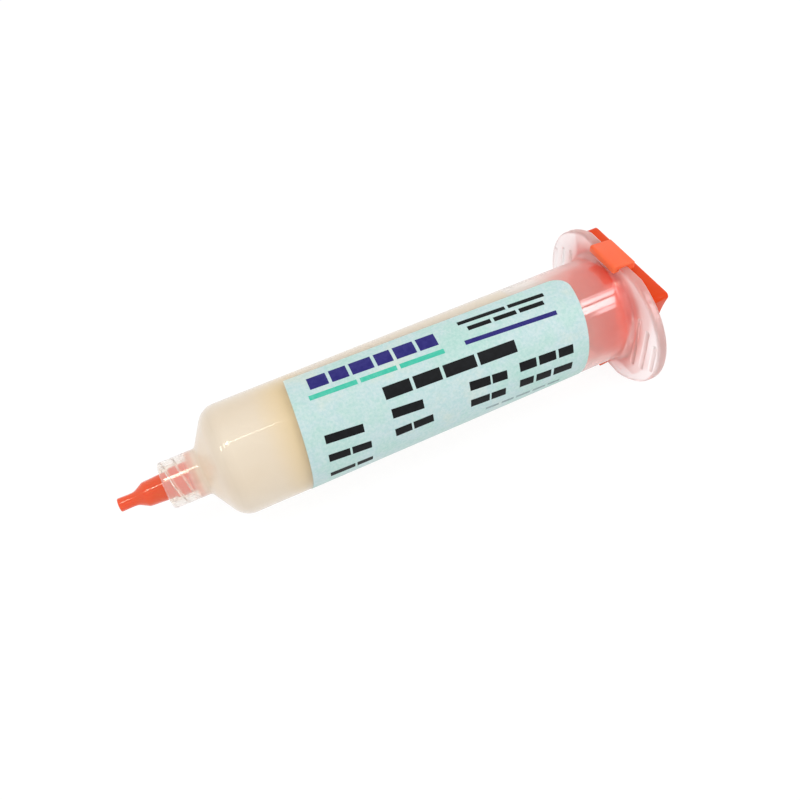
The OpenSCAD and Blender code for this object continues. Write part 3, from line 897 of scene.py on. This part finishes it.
# a flat bar at each point, and all of them rolled round the label
def barTree():
    tree, source = newTree("printed bars", [
        ("Radius", "Float"), ("Thickness", "Float"), ("Material", "Material")])
    bar = fromNode(tree, "GeometryNodeMeshCube", {
        "Size": joined(tree, 1, 1, source["Thickness"]), "Vertices X": 3, "Vertices Y": 9, "Vertices Z": 2})
    placed = fromNode(tree, "GeometryNodeInstanceOnPoints", {
        "Points": source["Geometry"], "Instance": bar, "Rotation": joined(tree, z=marked(tree, "tilt")),
        "Scale": joined(tree, marked(tree, "barLength"), marked(tree, "barHeight"), 1)})
    plain = fromNode(tree, "GeometryNodeRealizeInstances", {"Geometry": placed})
    x, along, up = parted(tree, fromNode(tree, "GeometryNodeInputPosition"))
    angle = sums(tree, "DIVIDE", along, source["Radius"])
    radius = sums(tree, "ADD", source["Radius"], up)
    rolled = joined(tree, x, times(tree, sums(tree, "SINE", angle), radius, -1),
                    times(tree, sums(tree, "COSINE", angle), radius))
    shaped = fromNode(tree, "GeometryNodeSetPosition", {"Geometry": plain, "Position": rolled})
    return finishTree(tree, shaped, source["Material"])


bars = barTree()
printRadius = labelSize["radius"] + labelSize["thick"]
rng = random.Random(printSize["seed"])


# one row's bars, of unequal lengths, as (middle, length, height, tilt) on the unrolled label
def rowOfBars(first, last, height, number):
    a, b = (Vector((x, math.radians(angle) * printRadius)) for x, angle in (first, last))
    length = (b - a).length
    gap = min(printSize["gap"], length * printSize["gapShare"])
    shares = [rng.uniform(*printSize["unequal"]) for _ in range(number)]
    usable = length - gap * (number - 1)
    row, start = [], 0
    for share in shares:
        own = usable * share / sum(shares)
        middle = a.lerp(b, (start + own / 2) / length)
        row.append((middle, own, math.radians(height) * printRadius, math.atan2(b.y - a.y, b.x - a.x)))
        start += own + gap
    return row


for name, ink in inks.items():
    spots = []
    for first, last, height, number, colour in printSize["rows"]:
        if colour == name:
            spots += rowOfBars(first, last, height, number)
    middles, lengths, heights, tilts = zip(*spots)
    piece = newObject(name + "Bars", [(middle.x * mm, middle.y * mm, 0) for middle in middles])
    markPoints(piece, "barLength", [v * mm for v in lengths])
    markPoints(piece, "barHeight", [v * mm for v in heights])
    markPoints(piece, "tilt", tilts)
    bakeTree(piece, bars, {"Radius": printRadius * mm, "Thickness": printSize["thick"] * mm, "Material": ink})
    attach(piece, "barrel")
print("label and print made")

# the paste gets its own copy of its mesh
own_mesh(pasteColumn)

# the studio, in metres and degrees round the barrel's axis
studioLook = {
    "floor": -0.01624, "tableHalf": 2, "table": linear(238, 238, 238), "tablePale": linear(243, 243, 243),
    "shown": 0.86, "mirrored": 0.85, "white": 1.06, "world": 0.83, "distance": 0.5,
    "cool": (0.91, 0.95, 1.0), "warm": (1.0, 0.93, 0.74),
    # a window of four panes, mirrored on the barrel beside the end cap: lower and upper angle, start, level
    "panes": [(12.3, 14.6, 0.215, 4.0), (16.6, 25.5, 0.215, 5.3), (29.8, 43.8, 0.215, 6.4),
              (45.3, 54.0, 0.246, 4.2)],
    "paneEnd": 0.385,
    # warm strips, mirrored as thin lines along the barrel's front end, the collar and the tip cap
    "stripAngle": 9,
    "strips": [("barrelStrip", -0.108, -0.056, 0.011, 6.5), ("collarStrip", -0.165, -0.122, 0.080, 7.0),
               ("tipStrip", -0.240, -0.166, 0.030, 30.0), ("leftStripA", -0.34, -0.29, 0.090, 5.0),
               ("leftStripB", -0.60, -0.50, 0.090, 6.0)]}


# the table shows nearly white, with the object's shadow, to the eye and in glossy and clear surfaces
def tableMaterial():
    look = studioLook
    material, tree, shader, place = newMaterial("white table", {"Roughness": 0.8})
    paper = patchy(tree, place, scale=30, detail=2)
    tree.links.new(mixed(tree, paper, look["table"], look["tablePale"]), shader.inputs["Base Color"])
    seen = addNode(tree, "ShaderNodeLightPath").outputs
    through = sums(tree, "MAXIMUM", seen["Is Glossy Ray"], seen["Is Transmission Ray"])
    share = sums(tree, "MAXIMUM", times(tree, seen["Is Camera Ray"], look["shown"]),
                 times(tree, through, look["mirrored"]))
    glow = fromNode(tree, "ShaderNodeEmission", {"Color": (1, 1, 1, 1), "Strength": look["white"]})
    both = fromNode(tree, "ShaderNodeMixShader", {0: share, 1: shader.outputs[0], 2: glow})
    tree.links.new(both, tree.nodes["Material Output"].inputs[0])
    return material


half, height = studioLook["tableHalf"], studioLook["floor"]
floor = newObject("table", [(-half, -half, height), (half, -half, height), (half, half, height),
                            (-half, half, height)], (), [(0, 1, 2, 3)], tableMaterial())


# an even white world, which looks full white when it is seen directly or in a surface
def studioWorld():
    world = bpy.data.worlds.new("studio")
    world.use_nodes = True
    tree = world.node_tree
    seen = addNode(tree, "ShaderNodeLightPath").outputs
    direct = sums(tree, "MAXIMUM", seen["Is Camera Ray"], seen["Is Glossy Ray"], seen["Is Transmission Ray"])
    level = sums(tree, "ADD", times(tree, direct, 1 - studioLook["world"]), studioLook["world"])
    tree.nodes["Background"].inputs["Color"].default_value = (1, 1, 1, 1)
    tree.links.new(level, tree.nodes["Background"].inputs["Strength"])
    return world


bpy.context.scene.world = studioWorld()


# links a lamp or camera in, at a place and turned by degrees round X, Y and Z
def linkedAt(name, data, place, turn):
    obj = bpy.data.objects.new(name, data)
    bpy.context.scene.collection.objects.link(obj)
    obj.matrix_world = Matrix.LocRotScale(place, Euler([math.radians(angle) for angle in turn]), None)
    return obj


# a lamp that faces the barrel's axis from an angle round it, and reaches from low to high along it
def areaLamp(name, low, high, angle, tall, level, colour):
    lamp = bpy.data.lights.new(name, "AREA")
    lamp.shape = "RECTANGLE"
    lamp.size = high - low
    lamp.size_y = tall
    lamp.energy = level * math.pi * (high - low) * tall
    lamp.color = colour
    linkedAt(name, lamp, aroundAxis((low + high) / 2, angle, studioLook["distance"]), (angle, 0, 0))


for i, (lower, upper, start, level) in enumerate(studioLook["panes"]):
    tall = 2 * studioLook["distance"] * math.tan(math.radians(upper - lower) / 2)
    areaLamp("pane" + str(i + 1), start, studioLook["paneEnd"], (lower + upper) / 2, tall, level,
             studioLook["cool"])
for name, low, high, tall, level in studioLook["strips"]:
    areaLamp(name, low, high, studioLook["stripAngle"], tall, level, studioLook["warm"])

# the camera's place in metres and its turn in degrees
cameraLook = {"lens": 35.23, "sensor": 36, "near": 0.005, "place": (-0.08914, -0.11154, 0.13387),
              "turn": (40.2778, 5.3886, -24.8901)}
camera = bpy.data.cameras.new("camera")
camera.lens = cameraLook["lens"]
camera.sensor_width = cameraLook["sensor"]
camera.clip_start = cameraLook["near"]
bpy.context.scene.camera = linkedAt("camera", camera, cameraLook["place"], cameraLook["turn"])
bpy.context.scene.view_settings.view_transform = "Standard"
print("studio made")
